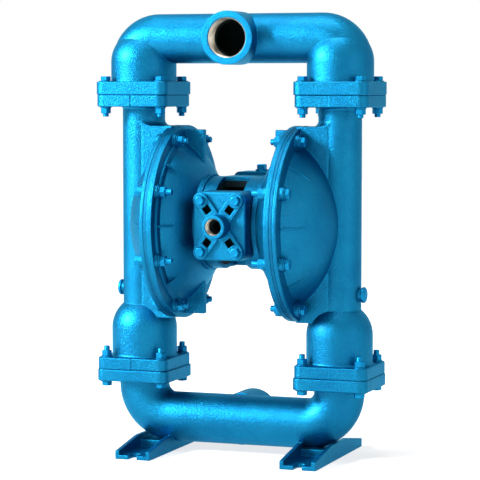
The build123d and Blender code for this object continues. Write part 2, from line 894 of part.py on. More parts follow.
# ---------------------------------------------------------------- rod, plates, diaphragms
def diaphragm():
    """Right diaphragm: clamped rim, one convolution and a clamped centre."""
    x0 = diaphragm_start
    x1 = outer_rim_start
    mid = (convolution_inner + convolution_outer) / 2
    hole = stud_radius + 0.2
    outline = [
        (x0 + plate_gap, hole),
        (x0 + plate_gap, convolution_inner),
        (x0 + convolution_depth * 0.75, mid - 8.0),
        (x0 + convolution_depth, mid),
        (x0 + convolution_depth * 0.75, mid + 8.0),
        (x0, convolution_outer),
        (x0, rim_radius - 0.5),
        (x1, rim_radius - 0.5),
        (x1, convolution_outer + 2.0),
        (x1 + convolution_depth * 0.75, mid + 10.0),
        (x1 + convolution_depth, mid),
        (x1 + convolution_depth * 0.75, mid - 10.0),
        (x1 - plate_gap, convolution_inner - 2.0),
        (x1 - plate_gap, hole),
    ]
    body = turned_x(outline)
    for angle in rim_angles:
        y, z = on_rim(angle)
        body -= bar_x(bolt_radius + bolt_clearance, x0, x1, y, z)
    return body


def inner_plate():
    """Dished plate on the air side of the diaphragm."""
    x0 = rod_half_length
    x1 = rod_half_length + inner_plate_depth
    return turned_x(
        [
            (x0, stud_radius),
            (x0, plate_radius - 10.0),
            (x0 + 6.0, plate_radius - 2.0),
            (x1 - 3.0, plate_radius),
            (x1, plate_radius - 4.0),
            (x1, stud_radius),
        ]
    )


def outer_plate():
    """Domed plate on the liquid side with its stud screwed into the rod."""
    x0 = outer_rim_start
    x1 = outer_rim_start + outer_plate_depth
    return turned_x(
        [
            (rod_half_length - stud_depth, 0),
            (rod_half_length - stud_depth, stud_radius),
            (x0, stud_radius),
            (x0, plate_radius - 4.0),
            (x0 + 3.0, plate_radius),
            (x0 + 6.0, plate_radius - 4.0),
            (x1 - 3.0, 30.0),
            (x1, 14.0),
            (x1, 0),
        ]
    )


def rod():
    """Diaphragm rod, bored at both ends for the plate studs."""
    body = bar_x(rod_radius, -rod_half_length, rod_half_length, 0, rod_height)
    for side in (-1, 1):
        body -= bar_x(
            stud_radius, side * (rod_half_length - stud_depth), side * rod_half_length, 0, rod_height
        )
    return body


def ring_x(outer, inner, x0, x1, y=0.0):
    """Plain ring about an axis along X at rod height."""
    return bar_x(outer, x0, x1, y, rod_height) - bar_x(inner, x0, x1, y, rod_height)


# ---------------------------------------------------------------- check valves
def seat(parting):
    """Valve seat ring with a conical lip, seated flush with the parting face."""
    return turned_z(
        [
            (seat_bore, -seat_height),
            (seat_radius, -seat_height),
            (seat_radius, 0),
            (seat_bore + seat_chamfer, 0),
            (seat_bore, -seat_chamfer),
        ],
        tower_x,
        parting,
    )


def ball_centre(parting):
    """Height of a ball that hovers one gap above the 45 degree seat cone."""
    edge_sum = seat_bore + seat_chamfer
    return parting - edge_sum + (ball_radius + ball_gap) * math.sqrt(2)


def check_ball(parting):
    """Right check ball on its seat."""
    return Pos(tower_x, 0, ball_centre(parting)) * Sphere(ball_radius)


def seat_seal(parting):
    """Thin ring under a valve seat."""
    z0 = parting - seat_height - seat_gasket
    outer = bar_z(seat_radius, z0, z0 + seat_gasket, tower_x)
    return outer - bar_z(pipe_bore, z0, z0 + seat_gasket, tower_x)


# ---------------------------------------------------------------- fasteners
def joint_places():
    """X and Y of the four bolts of the right joint flanges."""
    places = []
    for sx in (-1, 1):
        for sy in (-1, 1):
            places.append((tower_x + sx * joint_bolt_offset, sy * joint_bolt_offset))
    return places


def joint_bolts():
    """Bolts of both right flange joints: heads above at the top, below at the bottom."""
    solids = []
    top = discharge_parting + discharge_flange + joint_spot_height
    top_end = discharge_parting - chamber_flange - washer_thickness - bolt_nut - joint_bolt_point
    low = suction_parting - suction_flange - joint_spot_height
    low_end = suction_parting + chamber_flange + washer_thickness + bolt_nut + joint_bolt_point
    for x, y in joint_places():
        solids.append(
            Pos(x, y, top) * hexagon(bolt_across_flats, bolt_head)
            + bar_z(bolt_radius, top_end, top + 1.0, x, y)
        )
        solids.append(
            Pos(x, y, low - bolt_head) * hexagon(bolt_across_flats, bolt_head)
            + bar_z(bolt_radius, low - 1.0, low_end, x, y)
        )
    return solids


def joint_nuts():
    """Nuts of both right flange joints."""
    solids = []
    high = discharge_parting - chamber_flange - washer_thickness - bolt_nut
    low = suction_parting + chamber_flange + washer_thickness
    for x, y in joint_places():
        for z in (high, low):
            nut = Pos(x, y, z) * hexagon(bolt_across_flats, bolt_nut)
            solids.append(nut - bar_z(bolt_radius, z, z + bolt_nut, x, y))
    return solids


def joint_washers():
    """Washers under the nuts of both right flange joints."""
    solids = []
    high = discharge_parting - chamber_flange - washer_thickness
    low = suction_parting + chamber_flange
    for x, y in joint_places():
        for z in (high, low):
            disc = bar_z(washer_radius, z, z + washer_thickness, x, y)
            solids.append(disc - bar_z(bolt_radius, z, z + washer_thickness, x, y))
    return solids


def rim_bolts_right():
    """Rim bolts of the right chamber, heads on the liquid side."""
    solids = []
    seat_x = outer_rim_face + outer_spot_height + washer_thickness
    nut_end = inner_rim_face - inner_spot_height - washer_thickness - bolt_nut
    for angle in rim_angles:
        y, z = on_rim(angle)
        head = Pos(seat_x, y, z) * Rot(0, 90, 0) * Rot(0, 0, 30) * hexagon(bolt_across_flats, bolt_head)
        at_lug = abs(y) < rim_bolt_circle / 2
        point = rim_bolt_point_at_lug if at_lug else rim_bolt_point
        solids.append(head + bar_x(bolt_radius, nut_end - point, seat_x + 1.0, y, z))
    return solids


def rim_nuts_right():
    """Rim nuts of the right chamber, on the air side."""
    solids = []
    start = inner_rim_face - inner_spot_height - washer_thickness - bolt_nut
    for angle in rim_angles:
        y, z = on_rim(angle)
        nut = Pos(start, y, z) * Rot(0, 90, 0) * Rot(0, 0, 30) * hexagon(bolt_across_flats, bolt_nut)
        solids.append(nut - bar_x(bolt_radius, start, start + bolt_nut, y, z))
    return solids


def rim_washers_right():
    """Washers on both sides of the right chamber's rim."""
    solids = []
    starts = (
        inner_rim_face - inner_spot_height - washer_thickness,
        outer_rim_face + outer_spot_height,
    )
    for angle in rim_angles:
        y, z = on_rim(angle)
        for start in starts:
            end = start + washer_thickness
            disc = bar_x(washer_radius, start, end, y, z)
            solids.append(disc - bar_x(bolt_radius, start, end, y, z))
    return solids


def cap_screws():
    """Four hexagon screws that hold the air inlet cap."""
    solids = []
    face = -front_pad_face - gasket - cap_boss_height
    for sx in (-1, 1):
        for sz in (-1, 1):
            x = sx * cap_screw_x
            z = rod_height + sz * cap_screw_z
            head = Pos(x, face, z) * Rot(90, 0, 0) * hexagon(cap_screw_flats, cap_screw_head)
            shank = bar_y(cap_screw_radius, face - 1.0, -front_pad_face + cap_screw_bite, x, z)
            solids.append(head + shank)
    return solids


def valve_bolts():
    """Four hexagon bolts that hold the valve body to the bracket."""
    solids = []
    for sx in (-1, 1):
        for sz in (-1, 1):
            x = sx * valve_bolt_x
            z = rod_height + sz * valve_bolt_z
            head = Pos(x, valve_back, z) * Rot(-90, 0, 0) * hexagon(bolt_across_flats, bolt_head)
            shank = bar_y(bolt_radius, rear_pad_face - cap_screw_bite, valve_back + 1.0, x, z)
            solids.append(head + shank)
    return solids


def valve_cap_screws():
    """Screws of the right valve end cap."""
    solids = []
    face = valve_half_width + valve_cap
    for y, z in valve_cap_holes():
        head = Pos(face, y, z) * Rot(0, 90, 0) * hexagon(small_screw_flats, small_screw_head)
        shank = bar_x(small_screw_radius, valve_half_width - cap_screw_bite, face + 1.0, y, z)
        solids.append(head + shank)
    return solids


def hub_screws():
    """Socket screws that hold the right inner chamber to the bracket."""
    solids = []
    for turn in range(4):
        y, z = on_rim(45 + 90 * turn, hub_screw_circle)
        head = bar_x(hub_screw_head_radius, hub_web_face - hub_screw_head, hub_web_face, y, z)
        shank = bar_x(hub_screw_radius, hub_face - hub_screw_bite, hub_web_face - 1.0, y, z)
        solids.append(head + shank)
    return solids


def side_plug():
    """Pipe plug in the right tower, round with a domed face."""
    face = tower_x + tower_radius + plug_boss_proud
    head = bar_x(plug_radius, face, face + plug_head, 0, plug_height)
    head = fillet(head.faces().sort_by(Axis.X)[-1].edges(), edge_round)
    thread = bar_x(plug_thread_radius, face - plug_thread_length, face + 1.0, 0, plug_height)
    return head + thread


def top_plug():
    """Square-headed pipe plug on top of the valve body."""
    z = rod_height + valve_top + 3.0
    head = span(
        -top_plug_side / 2,
        top_plug_side / 2,
        top_plug_y - top_plug_side / 2,
        top_plug_y + top_plug_side / 2,
        z,
        z + top_plug_height - 3.0,
    )
    return chamfer(head.faces().sort_by(Axis.Z)[-1].edges(), edge_round / 2)


# ---------------------------------------------------------------- assembly
def valve_gasket():
    """Flat gasket under the main air valve."""
    body = pad(rear_pad_half_width, rear_pad_half_height, rear_pad_face, valve_face, 6.0)
    body -= bar_y(inlet_passage, rear_pad_face, valve_face, 0, rod_height)
    for sx in (-1, 1):
        for sz in (-1, 1):
            x = sx * valve_bolt_x
            z = rod_height + sz * valve_bolt_z
            body -= bar_y(bolt_radius + bolt_clearance, rear_pad_face, valve_face, x, z)
    return body


def plunger():
    """Right actuator plunger between the pilot spool and the inner plate."""
    start = pilot_half_length + plunger_gap
    body = bar_x(plunger_head_radius, start, start + plunger_head, -pilot_y, rod_height)
    return body + bar_x(plunger_radius, start, plunger_tip, -pilot_y, rod_height)


nodes = {}
nodes["discharge_manifold"] = discharge_manifold()
nodes["suction_manifold"] = suction_manifold()
chamber = outer_chamber_cuts(outer_chamber())
cone = inner_chamber()
ball_low = check_ball(suction_parting)
ball_high = check_ball(discharge_parting)
sides = {
    "outer_chamber": chamber,
    "inner_chamber": cone,
    "diaphragm": diaphragm(),
    "inner_plate": inner_plate(),
    "outer_plate": outer_plate(),
    "suction_ball": ball_low,
    "discharge_ball": ball_high,
    "plunger": plunger(),
    "valve_end_cap": valve_end_cap(),
    "side_plug": side_plug(),
    "rim_bolts": Compound(children=rim_bolts_right()),
    "rim_nuts": Compound(children=rim_nuts_right()),
    "rim_washers": Compound(children=rim_washers_right()),
    "rod_bushing": ring_x(bushing_radius, rod_radius + rod_fit, hub_face, hub_web_face),
    "plunger_bushing": ring_x(
        plunger_radius + rod_fit + plunger_bushing_wall,
        plunger_radius + rod_fit,
        hub_face,
        hub_web_face,
        -pilot_y,
    ),
}
for name, shape in sides.items():
    nodes[name + "_right"] = shape
    nodes[name + "_left"] = left(shape)

nodes["intermediate_bracket"] = bracket()
nodes["air_inlet_cap"] = inlet_cap()
nodes["inlet_cap_gasket"] = inlet_gasket()
nodes["inlet_cap_screws"] = Compound(children=cap_screws())
nodes["air_valve_body"] = valve_body()
nodes["air_valve_gasket"] = valve_gasket()
nodes["air_valve_bolts"] = Compound(children=valve_bolts())
nodes["valve_cap_screws"] = Compound(children=[p for s in valve_cap_screws() for p in (s, left(s))])
nodes["valve_sleeve"] = ported_sleeve(spool_radius + spool_fit, sleeve_wall, valve_half_width, spool_y)
nodes["valve_spool"] = grooved_spool(spool_radius, spool_half_length, spool_y)
nodes["valve_top_plug"] = top_plug()
nodes["pilot_sleeve"] = ported_sleeve(pilot_radius + pilot_fit, pilot_sleeve_wall, hub_face, -pilot_y)
nodes["pilot_spool"] = grooved_spool(pilot_radius, pilot_half_length, -pilot_y)
nodes["diaphragm_rod"] = rod()
nodes["rod_seals"] = both(
    ring_x(bushing_radius, rod_radius + rod_fit, hub_face - seal_length, hub_face)
)
nodes["plate_bumpers"] = both(
    ring_x(bumper_outer, bumper_inner, hub_web_face, rod_half_length - stroke - bumper_gap)
)
nodes["hub_screws"] = Compound(children=[p for s in hub_screws() for p in (s, left(s))])
nodes["suction_seats"] = both(seat(suction_parting))
nodes["discharge_seats"] = both(seat(discharge_parting))
nodes["seat_gaskets"] = Compound(
    children=[p for z in (suction_parting, discharge_parting) for p in (seat_seal(z), left(seat_seal(z)))]
)
nodes["joint_bolts"] = Compound(children=[p for s in joint_bolts() for p in (s, left(s))])
nodes["joint_nuts"] = Compound(children=[p for s in joint_nuts() for p in (s, left(s))])
nodes["joint_washers"] = Compound(children=[p for s in joint_washers() for p in (s, left(s))])

for name, shape in nodes.items():
    export_step(shape, "parts/" + name + ".step")
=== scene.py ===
import math

import bmesh
import bpy
import numpy as np
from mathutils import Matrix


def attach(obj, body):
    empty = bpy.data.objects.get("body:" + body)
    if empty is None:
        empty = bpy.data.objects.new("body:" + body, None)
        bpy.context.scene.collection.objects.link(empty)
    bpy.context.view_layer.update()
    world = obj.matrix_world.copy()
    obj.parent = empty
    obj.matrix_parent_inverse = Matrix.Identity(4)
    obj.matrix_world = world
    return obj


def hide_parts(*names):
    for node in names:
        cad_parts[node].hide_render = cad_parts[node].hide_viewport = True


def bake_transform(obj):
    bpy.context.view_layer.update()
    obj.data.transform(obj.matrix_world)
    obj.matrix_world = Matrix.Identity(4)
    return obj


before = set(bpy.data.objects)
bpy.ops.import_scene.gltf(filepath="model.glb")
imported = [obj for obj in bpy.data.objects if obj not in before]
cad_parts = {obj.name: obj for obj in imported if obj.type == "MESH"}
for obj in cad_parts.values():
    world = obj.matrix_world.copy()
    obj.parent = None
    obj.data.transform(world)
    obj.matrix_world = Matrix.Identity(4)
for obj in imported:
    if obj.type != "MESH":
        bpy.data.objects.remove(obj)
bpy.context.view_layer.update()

# ------------------------------------------------------------------ main sizes
# Metres. The rod runs along X at rod_height, a tower stands at tower_x on either side, and the manifolds' level
# pipes lie above and below. Both chambers' rims are bolted on rim_bolt_circle round the rod.
rod_height = 0.352
tower_x = 0.1575
discharge_height, suction_height, exhaust_height = 0.630, 0.051, 0.310
rim_bolt_circle = 0.134
sides = (("left", -1.0), ("right", 1.0))


# ---------------------------------------------------------------- shader nodes
# Short forms for the nodes that the materials are built from. Each works in the node tree it is given, and takes
# numbers, colours or the sockets of other nodes.
def wire(tree, source, target):
    """Joins one socket to another."""
    tree.links.new(source, target)


def set_inputs(node, values):
    """Sets the node's inputs that values names."""
    for label, value in values.items():
        node.inputs[label].default_value = value


def math_node(tree, kind, *values):
    """A Math node on numbers or sockets; returns its output."""
    node = tree.nodes.new("ShaderNodeMath")
    node.operation = kind
    for socket, value in zip(node.inputs, values):
        if isinstance(value, float):
            socket.default_value = value
        else:
            wire(tree, value, socket)
    return node.outputs[0]


def vector_node(tree, kind, *vectors):
    """A Vector Math node on sockets; returns its vector, or its value where the operation gives a number."""
    node = tree.nodes.new("ShaderNodeVectorMath")
    node.operation = kind
    for socket, vector in zip(node.inputs, vectors):
        wire(tree, vector, socket)
    return node.outputs[1 if kind in ("DOT_PRODUCT", "DISTANCE", "LENGTH") else 0]


def object_place(tree):
    """The point's place on the pump."""
    return tree.nodes.new("ShaderNodeTexCoord").outputs["Object"]


def noise(tree, vector, scale, detail, rough):
    """Noise of features 1 / scale metres wide; returns its value, 0 to 1 about 0.5."""
    node = tree.nodes.new("ShaderNodeTexNoise")
    set_inputs(node, {"Scale": scale, "Detail": detail, "Roughness": rough})
    wire(tree, vector, node.inputs["Vector"])
    return node.outputs["Fac"]


def ramp(tree, value, low, high, to_low=0.0, to_high=1.0):
    """Map Range from low..high to to_low..to_high, held at both ends."""
    node = tree.nodes.new("ShaderNodeMapRange")
    set_inputs(node, {"From Min": low, "From Max": high, "To Min": to_low, "To Max": to_high})
    wire(tree, value, node.inputs["Value"])
    return node.outputs[0]


def mix_colour(tree, factor, first, second):
    """Colour between first and second."""
    node = tree.nodes.new("ShaderNodeMix")
    node.data_type = "RGBA"
    wire(tree, factor, node.inputs["Factor"])
    for socket, value in ((node.inputs[6], first), (node.inputs[7], second)):
        if isinstance(value, tuple):
            socket.default_value = (*value, 1.0)
        else:
            wire(tree, value, socket)
    return node.outputs[2]


def new_group(name, inputs, outputs):
    """An empty node group with its named sockets; returns the group, its entry and its exit."""
    group = bpy.data.node_groups.new(name, "ShaderNodeTree")
    for direction, sockets in (("INPUT", inputs), ("OUTPUT", outputs)):
        for label, kind in sockets:
            group.interface.new_socket(label, in_out=direction, socket_type="NodeSocket" + kind)
    return group, group.nodes.new("NodeGroupInput"), group.nodes.new("NodeGroupOutput")


def group_node(tree, group, values):
    """A node that stands for the group, with the inputs that values names."""
    node = tree.nodes.new("ShaderNodeGroup")
    node.node_tree = group
    set_inputs(node, values)
    return node


def new_material(name):
    """A material on the Principled shader; returns it with its tree and its shader."""
    material = bpy.data.materials.new(name)
    material.use_nodes = True
    return material, material.node_tree, material.node_tree.nodes["Principled BSDF"]


def bump_normal(tree, shader, height, relief, beneath=None):
    """Bumps the shader's normal by height times relief metres, over the normal beneath where one is given."""
    bump = tree.nodes.new("ShaderNodeBump")
    bump.inputs["Distance"].default_value = relief
    wire(tree, height, bump.inputs["Height"])
    if beneath is not None:
        wire(tree, beneath, bump.inputs["Normal"])
    wire(tree, bump.outputs[0], shader.inputs["Normal"])


# ---------------------------------------------------------------------- meshes
# Grids of points become quads, and a finished mesh becomes an object at the origin, unturned and unscaled, with
# its place in its points.
smooth_below = math.radians(35.0)
weld_reach = 4e-6


def grid_quads(rows, columns, wrap_rows=False, wrap_columns=False):
    """Corner numbers of the quads over a grid of points, which closes on itself where wrap says so."""
    i = np.arange(rows if wrap_rows else rows - 1)
    j = np.arange(columns if wrap_columns else columns - 1)
    a, b = np.meshgrid(i, j, indexing="ij")
    c, d = (a + 1) % rows, (b + 1) % columns
    return np.stack([a * columns + b, a * columns + d, c * columns + d, c * columns + b], -1).reshape(-1, 4)


def mesh_of(points, quads):
    """A mesh of the points and of the quads between them."""
    mesh = bpy.data.meshes.new("mesh")
    mesh.from_pydata(points.reshape(-1, 3), [], quads.tolist())
    return mesh


def welded(mesh):
    """The mesh with the points that share a place made one, and with all its faces turned outwards."""
    edit = bmesh.new()
    edit.from_mesh(mesh)
    bmesh.ops.remove_doubles(edit, verts=edit.verts, dist=weld_reach)
    bmesh.ops.recalc_face_normals(edit, faces=edit.faces)
    edit.to_mesh(mesh)
    edit.free()
    return mesh


def place(name, mesh, material):
    """The mesh as an object; its faces turn smoothly into each other, except over edges above smooth_below."""
    mesh.name = name
    mesh.polygons.foreach_set("use_smooth", np.ones(len(mesh.polygons), bool))
    mesh.set_sharp_from_angle(angle=smooth_below)
    mesh.materials.append(material)
    piece = bpy.data.objects.new(name, mesh)
    bpy.context.scene.collection.objects.link(piece)
    return piece


# ------------------------------------------------------------------ studio
# A pump standing on a white studio floor that runs up to a white wall of light, so only the soft shadow
# shows where the floor is. The camera stands low, to the right of the front, on a long lens.
camera_turn = math.radians(19.82)
camera_pitch = math.radians(4.18)
camera_distance = 3.3148
aim = np.array([0.0, 0.0, rod_height])
frame_offset = (-0.00088, -0.02657)

back = np.array([math.sin(camera_turn) * math.cos(camera_pitch),
                 -math.cos(camera_turn) * math.cos(camera_pitch), math.sin(camera_pitch)])
right = np.array([math.cos(camera_turn), math.sin(camera_turn), 0.0])
up = np.cross(back, right)

camera = bpy.data.objects.new("camera", bpy.data.cameras.new("camera"))
bpy.context.scene.collection.objects.link(camera)
camera.data.lens = 164.0
camera.data.sensor_width = 36.0
camera.data.clip_end = 30.0
camera.location = aim + back * camera_distance + right * frame_offset[0] + up * frame_offset[1]
camera.rotation_euler = (math.pi / 2 - camera_pitch, 0.0, camera_turn)
bpy.context.scene.camera = camera
bpy.context.scene.view_settings.view_transform = "Standard"


def seen_or_mirrored(tree):
    """1 where the camera, a mirror or a clear solid looks at the surface, 0 for light on its way to it."""
    path = tree.nodes.new("ShaderNodeLightPath")
    seen = math_node(tree, "MAXIMUM", path.outputs["Is Camera Ray"], path.outputs["Is Glossy Ray"])
    return math_node(tree, "MAXIMUM", seen, path.outputs["Is Transmission Ray"])


# The floor glows a little less near the pump, so that its shadow shows there.
floor_half, floor_rows = 9.0, 3
dim_within, bright_beyond, dim_glow = 0.35, 1.1, 0.74
floor_paint = bpy.data.materials.new("studio_floor")
floor_paint.use_nodes = True
tree = floor_paint.node_tree
tree.nodes.clear()
paper = tree.nodes.new("ShaderNodeBsdfDiffuse")
paper.inputs["Color"].default_value = (0.55, 0.55, 0.55, 1.0)
glow = ramp(tree, vector_node(tree, "LENGTH", object_place(tree)), dim_within, bright_beyond, dim_glow, 1.0)
lift = tree.nodes.new("ShaderNodeEmission")
wire(tree, math_node(tree, "MULTIPLY", seen_or_mirrored(tree), glow), lift.inputs["Strength"])
total = tree.nodes.new("ShaderNodeAddShader")
wire(tree, paper.outputs[0], total.inputs[0])
wire(tree, lift.outputs[0], total.inputs[1])
sheet = tree.nodes.new("ShaderNodeOutputMaterial")
wire(tree, total.outputs[0], sheet.inputs["Surface"])
x, y = np.meshgrid(np.linspace(-floor_half, floor_half, floor_rows),
                   np.linspace(-floor_half, floor_half, floor_rows))
floor_grid = mesh_of(np.stack([x, y, 0.0 * x], -1), grid_quads(floor_rows, floor_rows))
floor = place("floor", floor_grid, floor_paint)

# The wall of light is white to look at, and gives the pump only a little of its light.
wall_light = 0.15
world = bpy.data.worlds.new("studio")
bpy.context.scene.world = world
world.use_nodes = True
tree = world.node_tree
tree.nodes.clear()
sky = tree.nodes.new("ShaderNodeBackground")
sky.inputs["Color"].default_value = (1.0, 1.0, 1.0, 1.0)
wire(tree, ramp(tree, seen_or_mirrored(tree), 0.0, 1.0, wall_light, 1.0), sky.inputs["Strength"])
ends = tree.nodes.new("ShaderNodeOutputWorld")
wire(tree, sky.outputs[0], ends.inputs["Surface"])


def softbox(name, position, size, power):
    """A flat square lamp that looks at the middle of the pump."""
    lamp = bpy.data.lights.new(name, "AREA")
    lamp.size = size
    lamp.energy = power
    stand = bpy.data.objects.new(name, lamp)
    bpy.context.scene.collection.objects.link(stand)
    stand.location = position
    look = aim - np.array(position)
    stand.rotation_euler = (math.acos(-look[2] / np.linalg.norm(look)), 0.0,
                            math.atan2(-look[0], look[1]))


softbox("key_lamp", (-2.2, -1.7, 1.5), 0.9, 215.0)
softbox("top_lamp", (-0.2, -0.3, 2.8), 1.3, 45.0)
softbox("fill_lamp", (2.6, -1.2, 0.8), 1.4, 10.0)

# ------------------------------------------------------------ painted castings
# Manifolds, chambers, bracket, inlet cap and air valve are sand castings, fettled, bolted together and then
# sprayed as one unit with a metallic blue enamel. The sand's grain shows through the paint, and where the
# spray doesn't reach, inside ports, pipes and pockets, the metal stays bare; there its colour is near black,
# a painted shade for the shade that lies deep inside them.
# The enamel's bright and deep tones, and a dark blue that is painted shade laid into its pits.
enamel_bright, enamel_deep, enamel_pit_shade = (0.006, 0.20, 0.36), (0.0008, 0.09, 0.23), (0.002, 0.045, 0.11)
enamel_metal, enamel_coat = 0.9, 0.05
# Unpainted metal inside ports, pipes and pockets, coloured near black as painted shade for the shade in them.
bare_shade_dark, bare_shade_light = (0.006, 0.0055, 0.005), (0.022, 0.020, 0.017)


def sand_cast_group():
    """Node group: enamel over sand-cast metal, as colour, roughness and height.

    Height is grain about two millimetres wide times Grain, plus fine tooth and a slow ripple, less scattered
    pits. Colour goes from Deep to Bright with a slow cloud and the grain's tops, and is painted darker in the
    pits, as the shade that lies in them.
    Roughness is Gloss plus a share of the ripple.
    """
    group, entry, leave = new_group(
        "sand_cast",
        (("Bright", "Color"), ("Deep", "Color"), ("Grain", "Float"), ("Gloss", "Float")),
        (("Color", "Color"), ("Roughness", "Float"), ("Height", "Float")))
    where = object_place(group)
    grain = noise(group, where, 520.0, 3.0, 0.6)
    tooth = noise(group, where, 1100.0, 2.0, 0.6)
    ripple = noise(group, where, 95.0, 2.0, 0.5)
    cloud = noise(group, where, 16.0, 3.0, 0.55)
    cells = group.nodes.new("ShaderNodeTexVoronoi")
    cells.inputs["Scale"].default_value = 210.0
    wire(group, where, cells.inputs["Vector"])
    pit = ramp(group, cells.outputs["Distance"], 0.06, 0.24)
    rough_skin = math_node(group, "MULTIPLY", grain, entry.outputs["Grain"])
    fine_skin = math_node(group, "MULTIPLY_ADD", tooth, 0.22, rough_skin)
    rippled = math_node(group, "MULTIPLY_ADD", ripple, 0.5, fine_skin)
    wire(group, math_node(group, "MULTIPLY_ADD", pit, 0.2, rippled), leave.inputs["Height"])
    shade = math_node(group, "MULTIPLY", math_node(group, "ADD", grain, cloud), 0.5)
    flow = ramp(group, shade, 0.25, 0.75)
    spray = mix_colour(group, flow, entry.outputs["Deep"], entry.outputs["Bright"])
    # Painted shade: the colour darkens towards the pits' dark blue, as if shade lay in them.
    pit_shade = ramp(group, cells.outputs["Distance"], 0.02, 0.14, 0.35, 0.0)
    wire(group, mix_colour(group, pit_shade, spray, enamel_pit_shade), leave.inputs["Color"])
    wire(group, math_node(group, "MULTIPLY_ADD", ripple, 0.16, entry.outputs["Gloss"]), leave.inputs["Roughness"])
    return group


def inside_bar_group():
    """Node group: 1 within Radius metres of the straight line from Start to End, 0 outside.

    The nearest point of the line is Start plus the run times the clamped dot product of (point - Start) with
    the run over the run's squared length.
    """
    group, entry, leave = new_group(
        "inside_bar", (("Start", "Vector"), ("End", "Vector"), ("Radius", "Float")), (("Inside", "Float"),))
    run = vector_node(group, "SUBTRACT", entry.outputs["End"], entry.outputs["Start"])
    leg = vector_node(group, "SUBTRACT", object_place(group), entry.outputs["Start"])
    share = math_node(group, "DIVIDE", vector_node(group, "DOT_PRODUCT", leg, run),
                      vector_node(group, "DOT_PRODUCT", run, run))
    step = group.nodes.new("ShaderNodeVectorMath")
    step.operation = "SCALE"
    wire(group, run, step.inputs[0])
    wire(group, ramp(group, share, 0.0, 1.0), step.inputs["Scale"])
    gap = vector_node(group, "DISTANCE", leg, step.outputs[0])
    wire(group, math_node(group, "LESS_THAN", gap, entry.outputs["Radius"]), leave.inputs["Inside"])
    return group


sand_cast = sand_cast_group()
inside_bar = inside_bar_group()


def enamel(name, bright, deep, grain, gloss, relief, corner, bare_shaded_bars=(), raw_and_shade_dark=bare_shade_dark, raw_and_shade_light=bare_shade_light):
    """Metallic enamel with cast corners rounded by corner metres, and unpainted stuff inside the bare_shaded_bars.

    A bare bar is (start, end, radius) in metres; its colour goes from raw_and_shade_dark to raw_and_shade_light.
    On the castings that is unpainted metal whose colour is near black, as painted shade inside it.
    """
    paint, tree, shader = new_material(name)
    set_inputs(shader, {"Coat Roughness": 0.3, "Specular Tint": (0.05, 0.7, 0.9, 1.0)})
    skin = group_node(tree, sand_cast, {"Bright": (*bright, 1.0), "Deep": (*deep, 1.0), "Grain": grain,
                                        "Gloss": gloss})
    rounding = tree.nodes.new("ShaderNodeBevel")
    rounding.samples = 6
    rounding.inputs["Radius"].default_value = corner
    bump_normal(tree, shader, skin.outputs["Height"], relief, rounding.outputs[0])
    if not bare_shaded_bars:
        set_inputs(shader, {"Metallic": enamel_metal, "Coat Weight": enamel_coat})
        wire(tree, skin.outputs["Color"], shader.inputs["Base Color"])
        wire(tree, skin.outputs["Roughness"], shader.inputs["Roughness"])
        return paint
    # Inside the bars the metal is unpainted, and its colour is near black as painted shade; on the diaphragm it is
    # rubber.
    bare = None
    for start, end, radius in bare_shaded_bars:
        inside = group_node(tree, inside_bar, {"Start": start, "End": end, "Radius": radius}).outputs[0]
        bare = inside if bare is None else math_node(tree, "MAXIMUM", bare, inside)
    raw_and_shade = mix_colour(tree, noise(tree, object_place(tree), 240.0, 4.0, 0.6), raw_and_shade_dark, raw_and_shade_light)
    wire(tree, mix_colour(tree, bare, skin.outputs["Color"], raw_and_shade), shader.inputs["Base Color"])
    wire(tree, ramp(tree, bare, 0.0, 1.0, enamel_metal, 0.0), shader.inputs["Metallic"])
    wire(tree, ramp(tree, bare, 0.0, 1.0, enamel_coat, 0.0), shader.inputs["Coat Weight"])
    wire(tree, math_node(tree, "MULTIPLY_ADD", bare, 0.4, skin.outputs["Roughness"]), shader.inputs["Roughness"])
    return paint


def cast_enamel(name, *bare_shaded_bars):
    """The blue enamel as it lies on a casting."""
    return enamel(name, enamel_bright, enamel_deep, 1.0, 0.29, 0.00070, 0.0022, bare_shaded_bars)


def bar_along_x(half, radius, height=rod_height, y=0.0):
    """A bare bar along X, from -half to half."""
    return (-half, y, height), (half, y, height), radius


def finish_node(name, material):
    """Gives a CAD node its finish."""
    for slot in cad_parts[name].material_slots:
        slot.material = material


# The bars inside the pipes and ports: unpainted metal, coloured near black as painted shade.
pipe_bare_shaded, port_bare_shaded, port_end = 0.0325, 0.0300, 0.0595
bulb_bare_shaded_x, bulb_bare_shaded_low, bulb_bare_shaded_high = 0.169, 0.56, 0.585
finish_node("discharge_manifold", cast_enamel(
    "discharge_enamel", bar_along_x(0.1307, pipe_bare_shaded, discharge_height),
    ((0.0, -port_end, discharge_height), (0.0, 0.0, discharge_height), port_bare_shaded),
    *(((x, 0.0, bulb_bare_shaded_low), (x, 0.0, bulb_bare_shaded_high), pipe_bare_shaded) for x in (-bulb_bare_shaded_x, bulb_bare_shaded_x))))
finish_node("suction_manifold", cast_enamel(
    "suction_enamel", bar_along_x(0.1075, pipe_bare_shaded, suction_height),
    ((0.0, 0.0, suction_height), (0.0, port_end, suction_height), port_bare_shaded)))
finish_node("intermediate_bracket", cast_enamel("bracket_enamel", bar_along_x(0.0405, 0.064)))
hub_enamel = cast_enamel("hub_enamel", bar_along_x(0.0425, 0.0545))
chamber_enamel = cast_enamel("chamber_enamel")
for side, way in sides:
    finish_node("outer_chamber_" + side, chamber_enamel)
    finish_node("inner_chamber_" + side, hub_enamel)

